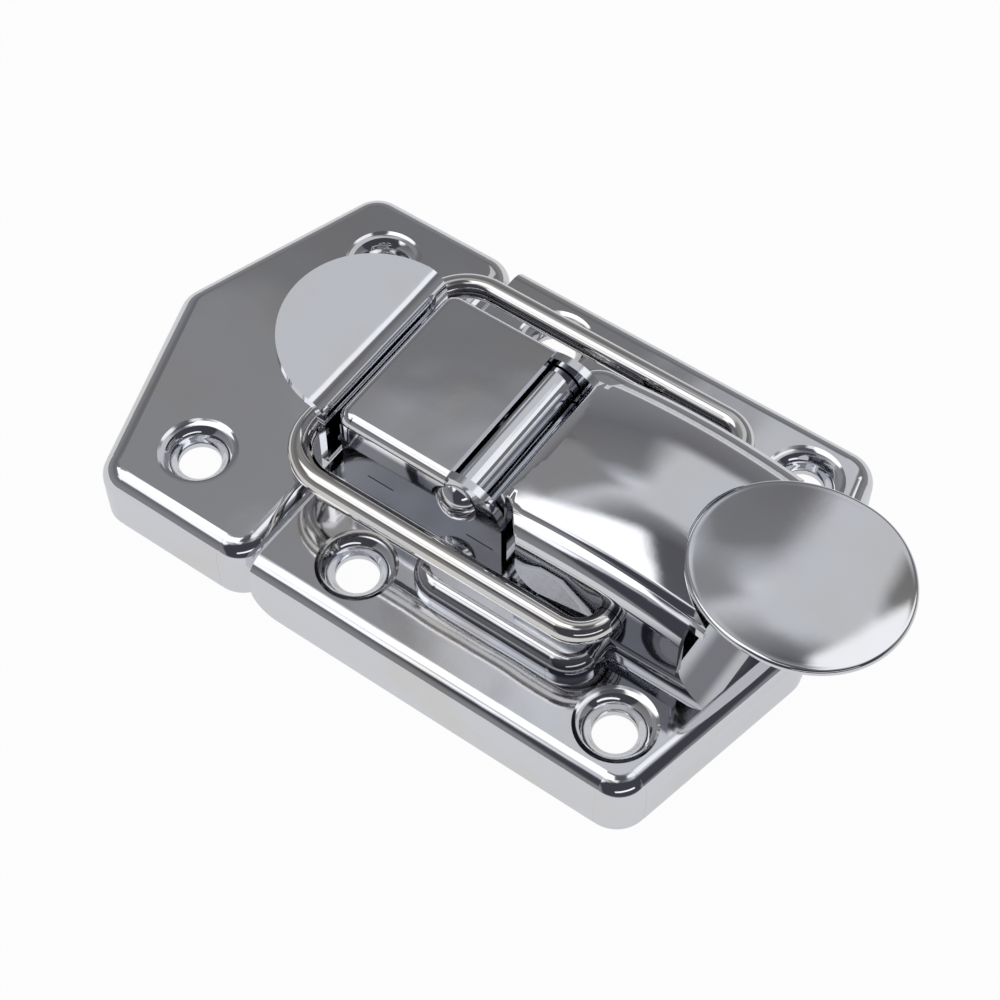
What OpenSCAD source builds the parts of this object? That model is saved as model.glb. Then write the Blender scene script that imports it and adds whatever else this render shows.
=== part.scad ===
// Toggle latch for a case or box lid, pressed from chromed sheet steel.
// A keeper plate with a hook is screwed to one half of the case, a base plate with an
// over-centre lever and a wire bail to the other half. The bail goes under the hook's lip
// and the lever draws both halves together.
// Both plates lie on z = 0, +X runs from the keeper to the lever's thumb end, +Z is up.

/* [Plates] */
// Width of both plates
plate_w = 46; // [43:0.5:50]
// Height of the plates' flat tops above the mounting plane
plate_h = 6.8; // [6:0.1:8]
// Thickness of the sheet
sheet = 0.9; // [0.8:0.05:1.1]
// Outside rounding of the plates' top edges
edge_r = 2.2; // [1.8:0.1:2.6]
// Rounding of the plates' corners, seen from above
corner_r = 3.4; // [3:0.1:4.5]
// Gap between the two plates
joint_gap = 0.3; // [0.2:0.05:0.6]
// Length of the keeper's straight sides
keeper_side = 19.2; // [17:0.1:21]
// Length of the keeper from the joint to its nose
keeper_nose = 27; // [25:0.1:30]
// Length of the base plate's straight sides
base_side = 43; // [42:0.1:46]
// Length of the base plate from the joint to its nose
base_nose = 48; // [47:0.1:52]

/* [Screw holes] */
// Diameter of the screw holes
hole_d = 4.3; // [3.8:0.1:4.8]
// Diameter of the dimples that take the screw heads
dimple_d = 7.2; // [6.6:0.1:7.6]
// Depth of the dimples
dimple_depth = 1.7; // [1.4:0.1:2]
// Distance of the keeper's holes from the joint
keeper_hole_x = 12.4; // [11:0.1:13.5]
// Distance of the keeper's holes from its sides
keeper_hole_in = 7.9; // [7:0.1:9]
// Distance of the base plate's first holes from the joint
base_hole_x = 8.4; // [7.5:0.1:8.6]
// Spacing of the base plate's holes along the latch
base_hole_pitch = 29.5; // [29.2:0.1:30]
// Distance of the base plate's holes from its sides
base_hole_in = 6.4; // [6:0.1:6.6]

/* [Raised middle of the base plate] */
// Height of the raised middle above the plate
boss_rise = 2.3; // [1.9:0.1:2.5]
// Rounding of its top edges
boss_edge = 1.7; // [1.4:0.1:1.9]
// Its width beside the bridge
neck_w = 24.6; // [24:0.1:25]
// Its width under the bail
boss_w = 32; // [30:0.1:32.4]
// Start of the wide stretch
boss_x0 = 13; // [12.8:0.1:15]
// End of the wide stretch
boss_x1 = 33.4; // [31:0.1:33.6]
// Width of the channel that runs out to the nose
channel_w = 21.6; // [20:0.1:22]
// Start of the ramp at the channel's end
ramp_x = 39.8; // [38.6:0.1:40.4]
// Foot of the ramp
ramp_foot = 44; // [43.6:0.1:44.4]

/* [Bridge] */
// Length of the flat pad
pad_l = 12.9; // [12:0.1:13.1]
// Width over the pad's rim
pad_w = 18.8; // [18.4:0.1:20]
// Height of the pad above the raised middle
pad_rise = 7.9; // [7.7:0.1:8.4]
// Height of the rim round the pad
rim_h = 3.9; // [3.4:0.1:4.4]
// Step from the rim in to the walls
rim_step = 0.4; // [0.3:0.05:0.6]
// Rounding of the pad's edges
pad_edge = 1.2; // [1:0.1:1.5]
// Rounding of the ears that hold the rivet
ear_r = 4.6; // [4.2:0.1:4.7]
// Width of the clinch tabs under the walls
tab_w = 3; // [2.4:0.1:3.6]

/* [Rivet] */
// Diameter of the rivet's shank
pin_d = 3; // [2.6:0.1:3.1]
// Diameter of its domed heads
head_d = 4.6; // [4.2:0.1:5]
// Height of its domed heads
head_h = 1.3; // [1:0.1:1.5]
// Height of the rivet above the raised middle
pivot_rise = 4.3; // [4.1:0.1:4.6]

/* [Lever] */
// Width over the lever's side walls
lever_w = 21.6; // [21:0.1:22]
// Height of the lever's crown above the rivet
crown_rise = 6; // [5.7:0.1:6.2]
// Radius of the lever's arched top, across it
arch_r = 27; // [25:0.5:28]
// Radius of the lever's bow, along it
arch_bow = 60; // [58:1:70]
// Rounding between the arched top and the side walls
bend_r = 2.4; // [2.2:0.1:2.6]
// Rounding of the lever's shoulder in front of the curl
shoulder_r = 4; // [3.6:0.1:4.4]
// Outside radius of the curl round the rivet
curl_r = 2.5; // [2.4:0.05:2.6]
// Length of the side walls
wall_l = 17.7; // [17:0.1:18.2]
// Diameter of the round thumb end
thumb_d = 19.4; // [18.6:0.1:20.4]
// Distance of the thumb end's centre from the joint
thumb_x = 46.8; // [46.4:0.1:47.2]
// Upward tilt of the thumb end
thumb_tilt = 0.5; // [0.5:0.5:3]
// Radius of the lift at the thumb end's tip
tip_r = 12; // [10:0.5:15]

/* [Bail and hook] */
// Diameter of the bail's wire
wire_d = 2.5; // [2.2:0.1:2.6]
// Width of the bail between its wires' centres
bail_w = 28.3; // [27.6:0.1:29]
// Bend radius of the bail at the hook
bail_r = 5; // [4:0.1:6]
// Bend radius of the bail at the lever
bail_end_r = 3.2; // [2.8:0.1:3.6]
// Distance of the bail's pivot from the joint
bail_x = 33; // [32.5:0.1:33.5]
// Width of the hook
hook_w = 19.6; // [18.6:0.1:20.4]
// Inside bend radius of the hook's lip
hook_r = 1.3; // [1.1:0.1:1.6]
// Upward slope of the hook's lip
lip_tilt = 8; // [5:0.5:11]
// Reach of the lip from its bend
lip_l = 8.9; // [8:0.1:9.6]

/* [Fits] */
// Radial clearance of the rivet in the lever's curl
pin_fit = 0.06; // [0.03:0.01:0.1]
// Radial clearance of the bail's ends in the lever
wire_fit = 0.08; // [0.05:0.01:0.1]
// Clearance of the clinch tabs in their slots
slot_fit = 0.05; // [0.03:0.01:0.1]
// Side clearance of the lever's curl between the ears
curl_gap = 0.15; // [0.1:0.05:0.25]
// Gap between the bail and the hook's stem
bail_seat = 0.15; // [0.1:0.05:0.25]

/* [Hidden] */
$fn = 64;
chrome = [0.80, 0.81, 0.83];
half_w = plate_w / 2;
half_gap = joint_gap / 2;
inner_corner = corner_r - sheet;
pad_corner = 1.6;
hair = 0.004;
seam = 0.01;
seam_in = 0.3;

// Levels
boss_z = plate_h + boss_rise;
pad_z = boss_z + pad_rise;
pivot_z = boss_z + pivot_rise;
crown_z = pivot_z + crown_rise;
wall_z = boss_z + 0.6;
bail_z = pivot_z - 0.6;

// Bridge
bridge_x0 = half_gap + 0.55;
pad_x1 = bridge_x0 + pad_l;
pivot_x = pad_x1 + 1;
wall_out = pad_w / 2 - rim_step;
wall_in = wall_out - sheet;
ear_x = pivot_x + 0.6;
ear_z = pad_z - ear_r;
tab_xs = [bridge_x0 + 3.4, pivot_x + 1.2];
tab_drop = sheet + 0.7;

// Lever
lever_x0 = pivot_x + 3.9;
lever_h = lever_w / 2;
curl_w = 2 * (wall_in - curl_gap);
curl_hw = curl_w / 2;
wall_x0 = lever_x0 + 4.1;
wall_x1 = wall_x0 + wall_l;
arch_x1 = thumb_x - 5;
end_hw = lever_h - 1.5;
flare_x = ear_x + ear_r + 0.5;
arch_z = crown_z - arch_r;
bow_z = crown_z - arch_bow;
bend_y = lever_h - bend_r;
bend_lift = 0.02;
bend_z = arch_z + sqrt(pow(arch_r - bend_r, 2) - pow(bend_y, 2)) + bend_lift;
flank = 0.14;
arch_x = lever_x0 + 10.5;
shoulder_z = crown_z - 0.2 - shoulder_r;
corner_in = 0.6;
corner_out = corner_in + sheet;
web_z = pivot_z - curl_r;
wall_round = 2.6;
thumb_r = thumb_d / 2;
thumb_z = crown_z - 1;
thumb_hw = thumb_r - 0.1;
crease_r = thumb_r + 0.3;
crease_h = 5.5;
tip_x0 = thumb_r - 3.2;
tip_low = tip_r - sqrt(pow(tip_r + sheet, 2) - pow(thumb_r - tip_x0, 2));
lap = 0.9;

// Hook and bail
stem_x = -half_gap + 0.1;
root_r = 1;
stem_in = stem_x - sheet;
lip_x = stem_in - hook_r;
lip_z = bail_z + 2.7;
wire_r = wire_d / 2;
bail_x0 = stem_in - bail_seat - wire_r;
bail_hw = bail_w / 2;
stub_y = lever_h - sheet - 1.4;
hook_notch = 0.7;

// The origin is under the middle of the whole latch
tip_x = thumb_x + thumb_r * cos(thumb_tilt) - tip_low * sin(thumb_tilt);
nose_sharp = atan2(keeper_nose - keeper_side, half_w);
nose_x = keeper_nose - corner_r / cos(nose_sharp) + corner_r;
mid_x = (tip_x - nose_x) / 2;

// Outlines of the plates, anticlockwise
base_outline = [
  [-12, -half_w], [base_side, -half_w], [base_nose, 0], [base_side, half_w], [-12, half_w]
];
keeper_outline = [
  [-keeper_side, -half_w], [-half_gap, -half_w], [-half_gap, half_w],
  [-keeper_side, half_w], [-keeper_nose, 0]
];
neck = strip(-12, boss_x1, neck_w / 2);
seat = strip(boss_x0, boss_x1, boss_w / 2);
channel_run = strip(boss_x1 - 12, base_nose + corner_r, channel_w / 2);
base_holes = [
  for (x = [base_hole_x, base_hole_x + base_hole_pitch], s = [-1, 1]) [x, s * (half_w - base_hole_in)]
];
keeper_holes = [for (s = [-1, 1]) [-keeper_hole_x, s * (half_w - keeper_hole_in)]];

// Rectangle from x0 to x1, h wide each way from the middle line
function strip(x0, x1, h) = [[x0, -h], [x1, -h], [x1, h], [x0, h]];

// Inward normal of the side from a to b
function inward(a, b) = [a.y - b.y, b.x - a.x] / norm(b - a);

// Outline p moved inwards by d
function inset(p, d) = [
  for (i = [0:len(p) - 1])
    let (n = len(p), a = inward(p[(i + n - 1) % n], p[i]), b = inward(p[i], p[(i + 1) % n]))
      p[i] + d * (a + b) / (1 + a * b)
];

// Section of a pan's rim: from x0 to r wide, with the top edge rounded by e.
// It stays a hair under the flat top at h, and a corner's section stays back by another hair.
module rim_section(x0, r, h, e, back = 0) {
  mid = h - e - hair;
  translate([x0, 0]) square([r - back - x0, mid]);
  translate([r - e, mid])
    intersection() {
      circle(e - back);
      translate([-seam_in, 0]) square([e + seam_in, e]);
    }
}

// Pressed block on the outline p: corners rounded by r, height h, top edge rounded by e.
// Only the listed sides get a rim; the others are cut away or hidden later.
module pan(p, r, h, e, sides) {
  c = inset(p, r);
  n = len(p);
  flat = e - seam_in / 2;
  linear_extrude(h) rounded(inset(p, flat), r - flat);
  for (i = sides) {
    run = c[(i + 1) % n] - c[i];
    translate([c[i].x, c[i].y, 0])
      rotate([90, 0, atan2(run.y, run.x) - 90])
        translate([0, 0, seam_in - norm(run)])
          linear_extrude(norm(run) - 2 * seam_in) rim_section(-1, r, h, e);
  }
  for (i = sides, j = sides)
    if ((j + 1) % n == i)
      translate([c[i].x, c[i].y, 0]) rotate_extrude() rim_section(0, r, h, e, seam);
}

// Flat shape on the outline p with its corners rounded by r
module rounded(p, r) {
  c = inset(p, r);
  n = len(p);
  polygon([
    for (i = [0:n - 1], k = [n - 1, 0])
      c[i] - r * inward(p[(i + k) % n], p[(i + k + 1) % n])
  ]);
  for (at = c) translate(at) circle(r - seam);
}

// Hollow under a plate with the outline p
module hollow(p) {
  relief = 0.7;
  translate([0, 0, -0.01]) {
    linear_extrude(plate_h - 2 * sheet) rounded(inset(p, sheet), inner_corner);
    linear_extrude(plate_h - sheet + 0.01) rounded(inset(p, sheet + relief), inner_corner - relief);
  }
}

// Underside of a dimple
module dimple_cup(at) {
  translate([at.x, at.y, plate_h - dimple_depth - 0.7 * sheet])
    cylinder(h = dimple_depth, d1 = hole_d + 1.6 * sheet, d2 = dimple_d + 1.6 * sheet);
}

// Screw hole with its dimple and a softened rim
module dimple_cut(at) {
  translate([at.x, at.y, 0]) {
    translate([0, 0, plate_h - dimple_depth])
      cylinder(h = dimple_depth, d1 = hole_d, d2 = dimple_d);
    translate([0, 0, plate_h - 0.3])
      cylinder(h = 0.4, d1 = dimple_d - 0.5, d2 = dimple_d + 1.3);
    translate([0, 0, -1]) cylinder(h = plate_h, d = hole_d);
  }
}

// Everything below the ramp at the channel's end, o under its upper face
module under_ramp(o) {
  fall = atan2(boss_rise, ramp_foot - ramp_x);
  translate([ramp_x, 0, boss_z - o / cos(fall)])
    rotate([0, fall, 0]) translate([-60, -40, -60]) cube([120, 80, 60]);
}

// Raised middle of the base plate
module boss() {
  pan(neck, corner_r, boss_z, boss_edge, [0, 2]);
  pan(seat, corner_r, boss_z, boss_edge, [0:3]);
  intersection() {
    pan(channel_run, corner_r, boss_z, boss_edge, [0, 2]);
    under_ramp(0);
    linear_extrude(2 * boss_z) polygon(inset(base_outline, edge_r));
  }
}

// Hollow under the raised middle
module boss_hollow() {
  top = boss_z - sheet;
  linear_extrude(top) polygon(inset(neck, sheet));
  linear_extrude(top) rounded(inset(seat, sheet), inner_corner);
  intersection() {
    linear_extrude(top) polygon(strip(boss_x1 - 12, ramp_foot - sheet, channel_w / 2 - sheet));
    under_ramp(sheet);
  }
}

// Clinch tabs of the bridge, or with a clearance their slots
module clinch_tabs(fit) {
  for (x = tab_xs, s = [-1, 1])
    translate([x - fit, s * (wall_in + sheet / 2) - sheet / 2 - fit, boss_z - tab_drop - fit])
      cube([tab_w + 2 * fit, sheet + 2 * fit, tab_drop + fit + 1]);
}

// Base plate: a pressed pan, open at the joint, with a raised middle and four screw holes
module base_plate() {
  color(chrome)
    difference() {
      union() {
        difference() {
          union() {
            pan(base_outline, corner_r, plate_h, edge_r, [0:3]);
            boss();
          }
          hollow(base_outline);
          boss_hollow();
        }
        for (at = base_holes) dimple_cup(at);
      }
      for (at = base_holes) dimple_cut(at);
      clinch_tabs(slot_fit);
      // Straight edge at the joint, with the skirts' lower corners rounded
      translate([-40 + half_gap, -50, -1]) cube([40, 100, 40]);
      translate([half_gap, 50, 0])
        rotate([90, 0, 0]) linear_extrude(100)
          difference() {
            translate([-1, -1]) square([4, 4]);
            translate([3, 3]) circle(3);
          }
    }
}

// Section of the hook: root, stem and the bend towards the lip
module hook_section() {
  turn = 90 - lip_tilt;
  translate([-6, plate_h - sheet]) square([6 + stem_in - root_r, sheet]);
  translate([stem_in - root_r, plate_h + root_r])
    difference() {
      intersection() {
        circle(root_r + sheet);
        translate([0, -root_r - sheet]) square(root_r + sheet);
      }
      circle(root_r);
    }
  translate([stem_in, plate_h + root_r]) square([sheet, lip_z - plate_h - root_r]);
  translate([lip_x, lip_z])
    difference() {
      intersection() {
        circle(hook_r + sheet);
        square(hook_r + sheet);
        rotate(turn - 90) square(3 * hook_r + sheet);
      }
      circle(hook_r);
    }
  translate([lip_x, lip_z]) rotate(-lip_tilt) translate([-0.3, hook_r]) square([0.3, sheet]);
}

// Half-moon lip, level with the end of the bend
module hook_lip() {
  chord = hook_w / 2;
  moon_r = (chord * chord + lip_l * lip_l) / (2 * lip_l);
  translate([lip_x, 0, lip_z])
    rotate([0, lip_tilt, 0])
      translate([0, 0, hook_r])
        intersection() {
          translate([moon_r - lip_l, 0, 0]) cylinder(h = sheet, r = moon_r);
          translate([-lip_l - 1, -chord, 0]) cube([lip_l + 1, hook_w, sheet]);
        }
}

// Keeper plate: a pressed pan with a pointed nose, and the hook bent up from its joint edge
module keeper_plate() {
  color(chrome) {
    difference() {
      union() {
        difference() {
          pan(keeper_outline, corner_r, plate_h, edge_r, [0:4]);
          hollow(keeper_outline);
        }
        for (at = keeper_holes) dimple_cup(at);
      }
      for (at = keeper_holes) dimple_cut(at);
      translate([-4.4, -hook_w / 2 - hook_notch, -1])
        cube([10, hook_w + 2 * hook_notch, plate_h + 2]);
    }
    translate([0, hook_w / 2, 0]) rotate([90, 0, 0]) linear_extrude(hook_w) hook_section();
    hook_lip();
  }
}

// Side of the bridge: wall and ear in one plate
module bridge_side() {
  translate([bridge_x0 + rim_step, boss_z])
    square([ear_x - bridge_x0 - rim_step, pad_z - boss_z - rim_h / 2]);
  translate([ear_x - 2, boss_z]) square([2 + ear_r, ear_z - boss_z]);
  intersection() {
    translate([ear_x, ear_z]) circle(ear_r);
    translate([ear_x - 2 * ear_r, boss_z]) square(4 * ear_r);
  }
}

// Pivot bridge: a flat pad with a rim, walls and two ears, clinched to the base plate
module pivot_bridge() {
  rim_z = pad_z - rim_h;
  pad_outline = strip(bridge_x0, pad_x1 + 10, pad_w / 2);
  color(chrome)
    difference() {
      union() {
        difference() {
          translate([0, 0, rim_z]) pan(pad_outline, pad_corner, rim_h, pad_edge, [2, 3, 0]);
          translate([0, 0, rim_z])
            linear_extrude(rim_h - sheet) rounded(inset(pad_outline, sheet), pad_corner - sheet);
          translate([pad_x1, -pad_w, rim_z - 1]) cube([30, 2 * pad_w, rim_h + 2]);
        }
        for (s = [-1, 1])
          translate([0, s * (wall_in + sheet / 2) + sheet / 2, 0])
            rotate([90, 0, 0]) linear_extrude(sheet) bridge_side();
        // Joggle between the rim and the walls
        for (s = [-1, 1])
          translate([bridge_x0 + rim_step, s * (wall_in + pad_w / 2) / 2 - (pad_w / 2 - wall_in) / 2, rim_z])
            cube([pad_l - rim_step, pad_w / 2 - wall_in, sheet / 2]);
        clinch_tabs(0);
      }
      translate([pivot_x, 50, pivot_z]) rotate([90, 0, 0]) cylinder(h = 100, d = pin_d + 2 * slot_fit);
      // The rim stays clear of the rivet's heads
      for (s = [0, 1])
        mirror([0, s, 0])
          translate([pivot_x, wall_out + 5, pivot_z]) rotate([90, 0, 0]) cylinder(h = 5, d = head_d + 0.4);
    }
}

// Pivot rivet: a shank through both ears with a domed head at each end
module pivot_rivet() {
  dome_r = (head_d * head_d / 4 + head_h * head_h) / (2 * head_h);
  color(chrome)
    translate([pivot_x, 0, pivot_z])
      rotate([90, 0, 0]) {
        translate([0, 0, -wall_out]) cylinder(h = 2 * wall_out, d = pin_d);
        for (s = [0, 1])
          mirror([0, 0, s])
            translate([0, 0, wall_out])
              intersection() {
                translate([0, 0, head_h - dome_r]) sphere(dome_r);
                cylinder(h = head_h + 1, d = head_d + 1);
              }
      }
}

// Cross-section of the lever's channel, drawn o inside its outer face
module channel_section(o) {
  r = bend_r - o;
  top_h = bend_y + flank * r;
  intersection() {
    translate([0, arch_z]) circle(arch_r - o, $fn = 240);
    union() {
      translate([-top_h, bend_z]) square([2 * top_h, 20]);
      for (s = [-1, 1]) translate([s * bend_y, bend_z]) circle(r);
      translate([-lever_h + o, wall_z - 1]) square([lever_w - 2 * o, bend_z - wall_z + 1]);
    }
  }
}

// Side view of the lever's channel, drawn o inside its outer face
module channel_side(o) {
  low = web_z + corner_out - (o > 0 ? 1 : 0);
  mid = lever_x0 + shoulder_r;
  translate([mid, wall_z - 1]) square([40, 30]);
  intersection() {
    translate([mid, shoulder_z]) circle(shoulder_r - o);
    translate([lever_x0 - 1, shoulder_z]) square([shoulder_r + 2, 20]);
  }
  translate([lever_x0 + o, low]) square([shoulder_r, shoulder_z - low]);
}

// Top view of the lever's channel, drawn o inside its outer face
module channel_plan(o) {
  side = [[lever_x0, curl_hw - o], [flare_x, curl_hw - o], [wall_x0, lever_h - o], [arch_x1, lever_h - o]];
  polygon(concat(side, [for (i = [3:-1:0]) [side[i].x, -side[i].y]]));
}

// Channel of the lever as a solid, drawn o inside its outer face
module channel(o) {
  intersection() {
    translate([arch_x, 0, bow_z])
      rotate([90, 0, 0]) rotate([0, 0, 70])
        rotate_extrude(angle = 40, $fn = 240) rotate(-90) translate([0, -bow_z]) channel_section(o);
    translate([0, 40, 0]) rotate([90, 0, 0]) linear_extrude(80) channel_side(o);
    linear_extrude(40) channel_plan(o);
  }
}

// Sheet that goes down from the channel's front wall and curls round the rivet
module curl_section() {
  difference() {
    union() {
      translate([pivot_x, pivot_z]) circle(curl_r);
      translate([pivot_x, web_z]) square([lever_x0 - corner_in - pivot_x, sheet]);
      translate([lever_x0 - corner_in, web_z + corner_out])
        difference() {
          intersection() {
            circle(corner_out);
            translate([0, -corner_out]) square(corner_out);
          }
          circle(corner_in);
        }
    }
    translate([pivot_x, pivot_z]) circle(pin_d / 2 + pin_fit);
  }
}

// Places the thumb end
module thumb_place() {
  translate([thumb_x, 0, thumb_z]) rotate([0, -thumb_tilt, 0]) children();
}

// Thumb end seen from the side: flat, with its tip lifted
module thumb_side() {
  translate([tip_x0 - 20, -sheet]) square([20, sheet]);
  translate([tip_x0, tip_r])
    difference() {
      intersection() {
        circle(tip_r + sheet, $fn = 180);
        translate([0, -tip_r - sheet]) square([9, tip_r + sheet]);
      }
      circle(tip_r, $fn = 180);
    }
}

// Round thumb end with slightly flattened sides
module thumb() {
  thumb_place()
    intersection() {
      translate([0, 0, -4])
        linear_extrude(12) {
          circle(thumb_r, $fn = 128);
          // Reaches in under the crease
          intersection() {
            circle(crease_r + lap, $fn = 128);
            translate([-15, -crease_h]) square([10, 2 * crease_h]);
          }
        }
      translate([0, thumb_hw, 0]) rotate([90, 0, 0]) linear_extrude(2 * thumb_hw) thumb_side();
    }
}

// Room above the thumb end, where the arch is pressed down into it
module bowl() {
  thumb_place()
    intersection() {
      cylinder(h = 20, r = crease_r, $fn = 128);
      translate([-12, -12, 0]) cube([15, 24, 20]);
    }
}

// Arched channel of the lever with its two side walls
module channel_shell() {
  difference() {
    channel(0);
    channel(sheet);
    // Open sides beside the ears, and walls with rounded lower corners
    for (s = [0, 1])
      mirror([0, s, 0])
        translate([0, lever_h + 4, 0])
          rotate([90, 0, 0]) linear_extrude(lever_h + 4 - curl_hw + sheet) wall_trim();
    // The walls end before the thumb end
    for (s = [-1, 1])
      translate([wall_x1, s * (end_hw + 10) - 10, 0]) cube([40, 20, 40]);
    translate([bail_x, 50, bail_z])
      rotate([90, 0, 0]) cylinder(h = 100, r = wire_r + wire_fit);
  }
}

// Lever: an arched channel with deep side walls, curled round the rivet at one end
module lever() {
  color(chrome)
    difference() {
      union() {
        channel_shell();
        translate([0, curl_hw, 0]) rotate([90, 0, 0]) linear_extrude(curl_w) curl_section();
        thumb();
      }
      bowl();
    }
}

// What is cut from the lever's side walls, seen from the side
module wall_trim() {
  translate([lever_x0 + sheet, 0]) square([wall_x0 - lever_x0 - sheet, bend_z]);
  translate([wall_x0, wall_z])
    difference() {
      translate([-1, -3]) square([1 + wall_round, 3 + wall_round]);
      translate([wall_round, wall_round]) circle(wall_round);
    }
  translate([wall_x0 + 1, 0]) square([wall_l + 10, wall_z]);
}

// Quarter bend of the bail's wire round the origin, from +X to +Y
module wire_bend(r) {
  rotate_extrude(angle = 90) translate([r, 0]) circle(wire_r);
}

// One half of the bail, on the +Y side
module bail_half() {
  translate([bail_x0, 0, bail_z])
    rotate([-90, 0, 0]) cylinder(h = bail_hw - bail_r, r = wire_r);
  translate([bail_x0 + bail_r, bail_hw - bail_r, bail_z]) rotate([0, 0, 90]) wire_bend(bail_r);
  translate([bail_x0 + bail_r, bail_hw, bail_z])
    rotate([0, 90, 0]) cylinder(h = bail_x - bail_end_r - bail_x0 - bail_r, r = wire_r);
  translate([bail_x - bail_end_r, bail_hw - bail_end_r, bail_z]) wire_bend(bail_end_r);
  translate([bail_x, stub_y, bail_z])
    rotate([-90, 0, 0]) cylinder(h = bail_hw - bail_end_r - stub_y, r = wire_r);
}

// Bail: one bent wire whose two ends turn in through the lever's walls
module bail() {
  color(chrome) {
    bail_half();
    mirror([0, 1, 0]) bail_half();
  }
}

translate([-mid_x, 0, 0]) keeper_plate();
translate([-mid_x, 0, 0]) base_plate();
translate([-mid_x, 0, 0]) pivot_bridge();
translate([-mid_x, 0, 0]) pivot_rivet();
translate([-mid_x, 0, 0]) lever();
translate([-mid_x, 0, 0]) bail();
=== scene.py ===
# %% [markdown]
# # A chromed toggle latch
# The latch is pressed from sheet steel and plated with bright chrome. Its shapes are exact solids that
# come with the frame, so this script gives them their finish, the room that they mirror, and a camera.
# Polished metal has hardly any colour of its own: what it shows is the room. So most of the work here is
# a small photo studio that the metal can reflect.

# %% Load the frame
import math

import bmesh
import bpy
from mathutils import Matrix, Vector


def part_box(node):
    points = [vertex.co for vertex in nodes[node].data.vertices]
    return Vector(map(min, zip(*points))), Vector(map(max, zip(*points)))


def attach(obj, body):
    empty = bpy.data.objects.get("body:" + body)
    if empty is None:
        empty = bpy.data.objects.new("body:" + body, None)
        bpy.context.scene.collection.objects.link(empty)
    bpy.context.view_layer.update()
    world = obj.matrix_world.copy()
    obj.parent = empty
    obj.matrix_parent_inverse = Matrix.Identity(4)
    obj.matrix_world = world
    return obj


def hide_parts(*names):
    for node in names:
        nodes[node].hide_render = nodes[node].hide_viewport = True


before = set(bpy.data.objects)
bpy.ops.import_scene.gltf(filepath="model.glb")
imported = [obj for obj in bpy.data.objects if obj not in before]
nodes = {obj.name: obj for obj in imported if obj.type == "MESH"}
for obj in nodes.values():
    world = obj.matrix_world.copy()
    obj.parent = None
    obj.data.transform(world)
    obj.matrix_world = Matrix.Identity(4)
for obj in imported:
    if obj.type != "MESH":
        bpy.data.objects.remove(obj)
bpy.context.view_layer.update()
print("pieces:", ", ".join(sorted(nodes)))

# %% [markdown]
# ## Shader maths as Python
# A material is a graph of small nodes. Wiring sums by hand is slow to read, so one class wraps a socket
# and lets Python's own operators add the Math nodes. Another class makes every other kind of node.

# %% A socket that can be added and multiplied
class Value:
    """A number that changes over a surface, or over the directions of the room."""

    def __init__(self, graph, socket):
        self.graph = graph
        self.socket = socket

    def math(self, operation, *others):
        return self.graph.make("ShaderNodeMath", {"operation": operation}, dict(enumerate([self, *others])))

    def __add__(self, other):
        return self.math("ADD", other)

    def __mul__(self, other):
        return self.math("MULTIPLY", other)

    def __truediv__(self, other):
        return self.math("DIVIDE", other)

    def __sub__(self, other):
        return self.math("SUBTRACT", other)

    def __rsub__(self, other):
        return self.graph.make("ShaderNodeMath", {"operation": "SUBTRACT"}, {0: other, 1: self})

    __radd__ = __add__
    __rmul__ = __mul__

    def __abs__(self):
        return self.math("ABSOLUTE")

    def at_least(self, other):
        return self.math("MAXIMUM", other)

    def rise(self, start, end):
        """0 before start, 1 after end, and a smooth S between them."""
        settings = {"interpolation_type": "SMOOTHSTEP"}
        limits = {"From Min": start, "From Max": end}
        return self.graph.make("ShaderNodeMapRange", settings, {"Value": self, **limits})


# %% A graph that makes nodes
class Graph:
    """The nodes of one material or of the world."""

    def __init__(self, owner):
        owner.use_nodes = True
        self.tree = owner.node_tree
        self.tree.nodes.clear()

    def make(self, kind, settings=None, inputs=None, output=0):
        node = self.tree.nodes.new(kind)
        for name, value in (settings or {}).items():
            if name == "stops":
                self.set_stops(node.color_ramp, value)
            else:
                setattr(node, name, value)
        for name, value in (inputs or {}).items():
            if isinstance(value, Value):
                self.tree.links.new(value.socket, node.inputs[name])
            else:
                node.inputs[name].default_value = value
        return Value(self, node.outputs[output]) if node.outputs else None

    @staticmethod
    def set_stops(ramp, stops):
        while len(ramp.elements) < len(stops):
            ramp.elements.new(1.0)
        for element, (place, colour) in zip(ramp.elements, stops):
            element.position = place
            element.color = (*colour, 1.0)

    def dot(self, vector, direction):
        settings = {"operation": "DOT_PRODUCT"}
        return self.make("ShaderNodeVectorMath", settings, {0: vector, 1: direction}, output="Value")

    def blend(self, share, low, high):
        """Mixes two colours; each is a Value or three numbers."""
        low, high = (side if isinstance(side, Value) else (*side, 1.0) for side in (low, high))
        return self.make("ShaderNodeMix", {"data_type": "RGBA"}, {0: share, 6: low, 7: high}, output=2)


print("graph helpers ready")

# %% [markdown]
# ## The camera
# The photograph was taken from above and to the right of the keeper, at close range. These five values
# were worked out from the plates' corners and screw holes.

# %% Place the camera
CAMERA_AZIMUTH = 35.399
CAMERA_ELEVATION = 55.602
CAMERA_DISTANCE = 0.2178
CAMERA_LENS = 77.94
LOOK_AT = Vector((-0.00237, 0.00112, 0.0))


def toward(azimuth, elevation):
    """Unit vector to a place in the room; azimuth 0 is in front (-Y) and 90 is at the right (+X)."""
    a, e = math.radians(azimuth), math.radians(elevation)
    return Vector((math.sin(a) * math.cos(e), -math.cos(a) * math.cos(e), math.sin(e)))


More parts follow.
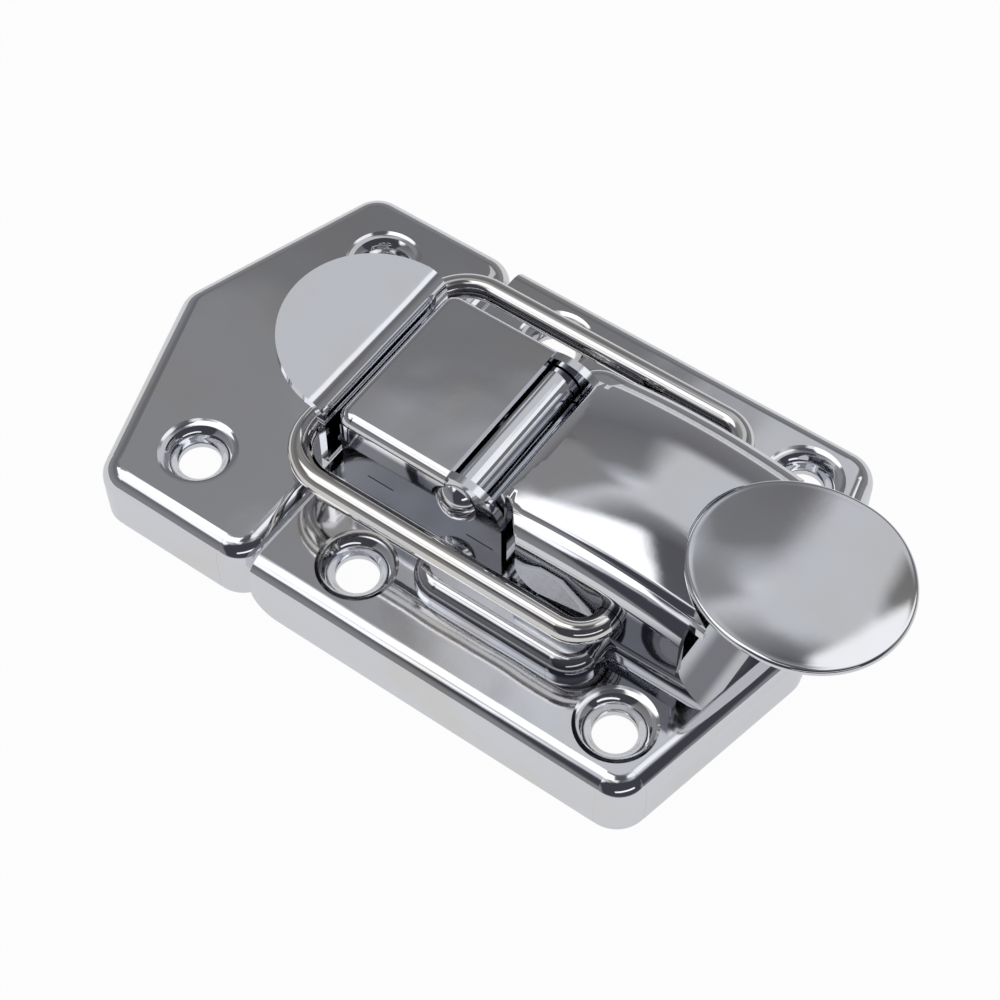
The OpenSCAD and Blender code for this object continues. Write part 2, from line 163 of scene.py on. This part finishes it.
camera_data = bpy.data.cameras.new("camera")
camera_data.lens = CAMERA_LENS
camera_data.sensor_width = 36.0
camera_data.clip_start = 0.01
camera = bpy.data.objects.new("camera", camera_data)
sight = toward(CAMERA_AZIMUTH, CAMERA_ELEVATION)
camera.location = LOOK_AT + CAMERA_DISTANCE * sight
camera.rotation_euler = sight.to_track_quat("Z", "Y").to_euler()
bpy.context.scene.collection.objects.link(camera)
bpy.context.scene.camera = camera
print("camera at", [round(1000 * value, 1) for value in camera.location], "mm")

# %% [markdown]
# ## The room
# A flat chrome top mirrors the back of the room at the camera's own height, its front skirts mirror the
# table, and the rounded edges mirror everything between. Lamps would light the metal but leave nothing for
# it to mirror, so the room is painted on the world instead: a grey shell, and over it soft-edged panels such
# as a studio has. The large white key stands at the left, and the side behind the camera is dark.

# %% Paint the room
world = bpy.data.worlds.new("studio")
bpy.context.scene.world = world
room = Graph(world)
direction = room.make("ShaderNodeTexCoord", output="Generated")
height = room.dot(direction, (0, 0, 1))

# Tone of the shell by the sine of the elevation
SHELL = [
    (0.00, (0.26, 0.26, 0.27)),
    (0.30, (0.24, 0.24, 0.25)),
    (0.56, (0.16, 0.16, 0.17)),
    (0.79, (0.21, 0.21, 0.215)),
    (0.83, (0.40, 0.41, 0.43)),
    (0.858, (0.68, 0.69, 0.72)),
    (0.90, (0.62, 0.63, 0.65)),
    (0.945, (0.28, 0.28, 0.29)),
    (0.98, (0.10, 0.10, 0.11)),
]
shell = room.make("ShaderNodeValToRGB", {"stops": SHELL}, {"Fac": height})


NEAR_EDGE = 0.05
FAR_EDGE = 0.15


def panel(under, azimuth, elevation, half_width, half_height, soft, colour):
    """Paints a soft-edged rectangle over what is under it; sizes are for a distance of 1."""
    face = toward(azimuth, elevation)
    side = Vector((0, 0, 1)).cross(face).normalized()
    upright = face.cross(side)
    depth = room.dot(direction, face)
    across = abs(room.dot(direction, side) / depth.at_least(NEAR_EDGE))
    along = abs(room.dot(direction, upright) / depth.at_least(NEAR_EDGE))
    wide = 1 - across.rise(half_width - soft, half_width + soft)
    high = 1 - along.rise(half_height - soft, half_height + soft)
    return room.blend(wide * high * depth.rise(NEAR_EDGE, FAR_EDGE), under, colour)


# Azimuth, elevation, half width, half height, softness and colour of each panel
PANELS = {
    "dark front": (46, 38, 1.40, 0.72, 0.15, (0.055, 0.055, 0.068)),
    "front strip": (55, 29, 0.50, 0.06, 0.03, (1.25, 1.26, 1.28)),
    "high front": (15, 77, 0.10, 0.10, 0.05, (0.90, 0.91, 0.92)),
    "grey wall": (186, 53, 0.20, 0.32, 0.06, (0.60, 0.61, 0.63)),
    "dark wall": (242, 55, 0.21, 0.15, 0.05, (0.27, 0.27, 0.275)),
    "right light": (144, 55, 0.13, 0.38, 0.04, (1.05, 1.06, 1.08)),
    "key": (-66, 66, 0.23, 0.36, 0.04, (1.35, 1.36, 1.38)),
    "low key": (-37, 48, 0.16, 0.14, 0.06, (1.20, 1.21, 1.23)),
}
picture = shell
for settings in PANELS.values():
    picture = panel(picture, *settings)
background = room.make("ShaderNodeBackground", None, {"Color": picture, "Strength": 1.0})
room.make("ShaderNodeOutputWorld", None, {"Surface": background})
print("room painted with", len(room.tree.nodes), "nodes")

# %% [markdown]
# ## The table
# The latch lies on a plain white table. A lit white plane would need far more light than the metal should
# get, so the table glows by the kind of ray: the camera sees it white, and the metal sees it a little shaded,
# as the ground right beside an object is. The rest of it is matt and takes a faint shadow.

# %% Lay the table
FLOOR_SIZE = 6.0
FLOOR_DROP = 0.0002
SEEN_BRIGHT = 0.97
MIRRORED_BRIGHT = 0.6
bpy.ops.mesh.primitive_plane_add(size=FLOOR_SIZE, location=(0, 0, -FLOOR_DROP))
table = bpy.context.object
table.name = "table"
white = bpy.data.materials.new("white_table")
surface = Graph(white)
camera_ray = surface.make("ShaderNodeLightPath", output="Is Camera Ray")
glossy_ray = surface.make("ShaderNodeLightPath", output="Is Glossy Ray")
through_ray = surface.make("ShaderNodeLightPath", output="Is Transmission Ray")
matt = surface.make("ShaderNodeBsdfDiffuse", None, {"Color": (0.75, 0.76, 0.79, 1.0)})
bright = surface.make("ShaderNodeEmission", None, {"Color": (1.0, 1.0, 1.0, 1.0), "Strength": 1.0})
share = camera_ray * SEEN_BRIGHT + glossy_ray * MIRRORED_BRIGHT + through_ray * SEEN_BRIGHT
mixed = surface.make("ShaderNodeMixShader", None, {0: share, 1: matt, 2: bright})
surface.make("ShaderNodeOutputMaterial", None, {"Surface": mixed})
table.data.materials.append(white)
print("table laid")

# %% [markdown]
# ## Chrome
# Pressed sheet is never quite flat, so its mirror image wavers. Slow waves in the bump give that, a finer
# grain gives the soft edges of the reflections, and the plating is a little warmer in some places. The walls
# low down between the pieces are painted darker: painted shade, for the shade and dark reflections there.
# All heights here are in units of BUMP, the distance that the Bump node gives to a height of 1.

# %% Make the chrome
BUMP = 0.0002
PLATE_TINT = (0.80, 0.81, 0.845)
WIRE_TINT = (0.80, 0.79, 0.78)
# Colour of the painted shade low on the walls between the pieces
PAINTED_SHADE_TINT = (0.16, 0.165, 0.19)
WARMTH = (1.0, 0.97, 0.92)


def chrome(name, tint, roughness, waver, painted_shade=None, relief=None):
    """Bright plating, with painted shade mixed in where an optional mask gives its share at a place; relief
    adds to the bump.
    """
    material = bpy.data.materials.new(name)
    graph = Graph(material)
    place = graph.make("ShaderNodeTexCoord", output="Object")
    waves = graph.make("ShaderNodeTexNoise", None,
                       {"Vector": place, "Scale": 70.0, "Detail": 2.0, "Roughness": 0.4})
    grain = graph.make("ShaderNodeTexNoise", None, {"Vector": place, "Scale": 1500.0, "Detail": 3.0})
    clouds = graph.make("ShaderNodeTexNoise", None, {"Vector": place, "Scale": 120.0, "Detail": 3.0})
    x, y, z = (graph.make("ShaderNodeSeparateXYZ", None, {0: place}, output=axis) for axis in "XYZ")
    warm = tuple(value * shift for value, shift in zip(tint, WARMTH))
    colour = graph.blend(clouds.rise(0.45, 0.75), tint, warm)
    # Painted shade: the colour is darkened where the mask says
    if painted_shade:
        colour = graph.blend(painted_shade(x, y, z), colour, PAINTED_SHADE_TINT)
    rough = clouds * 0.05 + grain * 0.04 + (roughness - 0.045)
    height = waves * waver + grain * (0.006 * waver)
    if relief:
        height = height + relief(x, y, z)
    bump = graph.make("ShaderNodeBump", None, {"Height": height, "Strength": 1.0, "Distance": BUMP})
    shader = graph.make("ShaderNodeBsdfPrincipled", None,
                        {"Base Color": colour, "Metallic": 1.0, "Roughness": rough, "Normal": bump})
    graph.make("ShaderNodeOutputMaterial", None, {"Surface": shader})
    return material


print("chrome ready, with heights in units of", 1000 * BUMP, "mm")

# %% [markdown]
# ## Places on the pieces
# The finish differs from place to place. A screw dimple has a rounded flank, which turns its reflection into
# rings; the keeper's pan is slightly crowned, and the hook's lip leans a little. The solids have plain cones
# and flats there. These small slopes are added to the bump, because they are far finer than the sheet. Holes
# that repeat are folded onto one by taking distances as absolute values.

# %% Say where shade is painted and where the sheet is curved
BASE_MIDDLE = 0.0083029
BASE_PITCH_HALF = 0.01475
BASE_HOLE_Y = 0.0166
KEEPER_HOLE_X = -0.0272471
KEEPER_HOLE_Y = 0.0151
KEEPER_MIDDLE = -0.028
LIP_MIDDLE = -0.021
LIP_SLOPE = -440
CROWN = -6000
WALL_EDGE = 0.0003


def funnel(across, along):
    """A screw dimple's rounded flank, around the hole that both distances are measured from."""
    radius = (across * across + along * along).math("SQRT")
    return radius.rise(0.0021, 0.0029) * 1.1 - radius.rise(0.0029, 0.0038) * 0.8


def wall_shade(low, high, half_width):
    """Painted shade on walls: below the two heights, and outside a half width."""
    return lambda x, y, z: (1 - z.rise(low, high)) * abs(y).rise(half_width - WALL_EDGE, half_width)


def boss_foot_shade(x, y, z):
    """Painted shade on the flank of the base plate's raised middle."""
    return z.rise(0.0070, 0.0075) * (1 - z.rise(0.0083, 0.0090)) * 0.75


def base_relief(x, y, z):
    """The base plate's four dimples."""
    return funnel(abs(abs(x - BASE_MIDDLE) - BASE_PITCH_HALF), abs(abs(y) - BASE_HOLE_Y))


def keeper_relief(x, y, z):
    """Dimples, a pan that is slightly crowned, and the hook's lip, which leans a little to the pad."""
    lean = z.rise(0.0148, 0.0156) * (x - LIP_MIDDLE) * LIP_SLOPE
    along = x - KEEPER_MIDDLE
    crown = (along * along + y * y) * (1 - z.rise(0.0075, 0.0090)) * CROWN
    return funnel(abs(x - KEEPER_HOLE_X), abs(abs(y) - KEEPER_HOLE_Y)) + lean + crown


pad_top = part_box("pivot_bridge")[1][2]
# Masks of painted shade on the low walls of the bridge and of the lever
bridge_wall_shade = wall_shade(pad_top - 0.0022, pad_top - 0.0012, 0.0075)
lever_wall_shade = wall_shade(0.0145, 0.0163, 0.0100)
FINISHES = {
    "keeper_plate": chrome("keeper_chrome", PLATE_TINT, 0.07, 1.0, relief=keeper_relief),
    "base_plate": chrome("base_chrome", PLATE_TINT, 0.07, 1.0, painted_shade=boss_foot_shade, relief=base_relief),
    "pivot_bridge": chrome("bridge_chrome", PLATE_TINT, 0.07, 1.0, painted_shade=bridge_wall_shade),
    "lever": chrome("lever_chrome", PLATE_TINT, 0.07, 1.0, painted_shade=lever_wall_shade),
    "pivot_rivet": chrome("rivet_chrome", PLATE_TINT, 0.06, 0.5),
    "bail": chrome("wire_chrome", WIRE_TINT, 0.07, 0.5),
}
print("finishes:", ", ".join(FINISHES), "- pad top at", round(1000 * pad_top, 2), "mm")

# %% [markdown]
# ## Finishing the pieces
# Every piece is plated, but each was made and worn in its own way, so each gets its own chrome. The solids
# already have the right shape, so only what is in their material slots changes.

# %% Put the finishes on the pieces
for name, finish in FINISHES.items():
    mesh = nodes[name].data
    mesh.materials.clear()
    mesh.materials.append(finish)
    print(name, "gets", finish.name)

# %% [markdown]
# ## The lever's thumb end
# On the real latch the thumb end is a shallow dome, pressed into the end of the arch so that a crease runs
# round its inner side. The exact solid has a plain flat end there, so a copy of it is cut off at the crease
# and gets a dome instead. The dome is one profile of the sheet, spun round the middle of the thumb end.

# %% Spin the dome
THUMB_X = 0.0319529
THUMB_R = 0.0097
SHEET = 0.0009
# Height of the dome's middle, and how far its edge lies below it at the tip and at the crease
DOME_TOP = 0.0191
DOME_SAG = 0.0013
INNER_SAG = 0.0006
DOME_POWER = 2.5
# The inner half is longer than a half circle, and laps the crease a little; across, the dome is flatter
INNER_REACH = 1.163
LAP_ALONG = 1.025
LAP_ACROSS = 0.04
FLATTEN = 0.78
RINGS = 26
STEPS = 144


def dome_top(radius, sag=DOME_SAG):
    """Height of the dome's upper face at a distance from its middle."""
    return DOME_TOP - sag * (radius / THUMB_R) ** DOME_POWER


def dome_profile():
    """The sheet's half section: over the top, round the edge, and back underneath."""
    edge = SHEET / 2
    radii = [(THUMB_R - edge) * ring / RINGS for ring in range(RINGS + 1)]
    over = [(radius, dome_top(radius)) for radius in radii]
    middle = over[-1][1] - edge
    turns = [math.radians(angle) for angle in (68, 45, 22, 0, -22, -45, -68)]
    round_edge = [(THUMB_R - edge + edge * math.cos(t), middle + edge * math.sin(t)) for t in turns]
    under = [(radius, height - SHEET) for radius, height in reversed(over)]
    return over + round_edge + under


dome = bmesh.new()
row = [dome.verts.new((radius, 0, height)) for radius, height in dome_profile()]
line = [dome.edges.new(pair) for pair in zip(row, row[1:])]
bmesh.ops.spin(dome, geom=row + line, cent=(0, 0, 0), axis=(0, 0, 1), angle=math.tau, steps=STEPS,
               use_merge=True)
bmesh.ops.remove_doubles(dome, verts=dome.verts, dist=1e-6)
bmesh.ops.recalc_face_normals(dome, faces=dome.faces)
for vert in dome.verts:
    x, y = vert.co.x, vert.co.y
    sag = DOME_SAG if x > 0 else DOME_SAG + (INNER_SAG - DOME_SAG) * (x / THUMB_R) ** 2
    vert.co.z += dome_top(math.hypot(x, FLATTEN * y), sag) - dome_top(math.hypot(x, y))
    if x < 0:
        vert.co.x *= INNER_REACH * LAP_ALONG
        vert.co.y *= 1 - LAP_ACROSS * x / THUMB_R
bmesh.ops.translate(dome, verts=dome.verts, vec=(THUMB_X, 0, 0))
print("dome faces:", len(dome.faces), "open edges:", sum(not edge.is_manifold for edge in dome.edges))

# %% [markdown]
# ## Cutting at the crease
# The copy of the lever needs a clean edge on an oval round the thumb end. Deleting faces would leave a ragged
# one, so a drum on that oval is taken away from the closed mesh with a Boolean modifier, whose result is
# kept as plain mesh.

# %% Cut the flat end off a copy of the lever
CREASE_GAP = 0.00015
DRUM_HEIGHT = 0.02
DRUM_MIDDLE = 0.018
sheet_mesh = bpy.data.meshes.new("lever_sheet")
lever_sheet = bpy.data.objects.new("lever_sheet", sheet_mesh)
bpy.context.scene.collection.objects.link(lever_sheet)
body = bmesh.new()
body.from_mesh(nodes["lever"].data)
bmesh.ops.remove_doubles(body, verts=body.verts, dist=2e-6)
body.to_mesh(sheet_mesh)
body.free()

cutter_mesh = bpy.data.meshes.new("cutter")
cutter = bpy.data.objects.new("cutter", cutter_mesh)
bpy.context.scene.collection.objects.link(cutter)
drum = bmesh.new()
drum_r = THUMB_R + CREASE_GAP
bmesh.ops.create_cone(drum, cap_ends=True, segments=STEPS, radius1=drum_r, radius2=drum_r,
                      depth=DRUM_HEIGHT)
bmesh.ops.scale(drum, verts=drum.verts, vec=(INNER_REACH, 1, 1))
bmesh.ops.translate(drum, verts=drum.verts, vec=(THUMB_X, 0, DRUM_MIDDLE))
drum.to_mesh(cutter_mesh)
drum.free()

cut = lever_sheet.modifiers.new("cut", "BOOLEAN")
cut.operation = "DIFFERENCE"
cut.solver = "EXACT"
cut.object = cutter
bpy.context.view_layer.update()
kept = bpy.data.meshes.new_from_object(lever_sheet.evaluated_get(bpy.context.evaluated_depsgraph_get()))
lever_sheet.modifiers.clear()
bpy.data.objects.remove(cutter)
print("lever cut at the crease:", len(kept.polygons), "faces")

# %% [markdown]
# ## One sheet
# The dome and the cut lever are one stamping, so they become one piece, which rides on the lever's body and
# stands for its solid. Curved faces are shaded smooth, and edges sharper than a bend stay crisp.

# %% Join the dome to the lever
SHARP_ANGLE = 28
joined = bmesh.new()
joined.from_mesh(kept)
dome_mesh = bpy.data.meshes.new("dome")
dome.to_mesh(dome_mesh)
dome.free()
joined.from_mesh(dome_mesh)
for face in joined.faces:
    face.smooth = True
    face.material_index = 0
joined.to_mesh(sheet_mesh)
print("lever sheet faces:", len(joined.faces), "open edges:", sum(not e.is_manifold for e in joined.edges))
joined.free()
sheet_mesh.set_sharp_from_angle(angle=math.radians(SHARP_ANGLE))
sheet_mesh.materials.clear()
sheet_mesh.materials.append(FINISHES["lever"])
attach(lever_sheet, "lever")
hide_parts("lever")

# %% [markdown]
# ## Closing
# The Standard view shows colours as they are written.

# %% Picture settings
bpy.context.scene.view_settings.view_transform = "Standard"
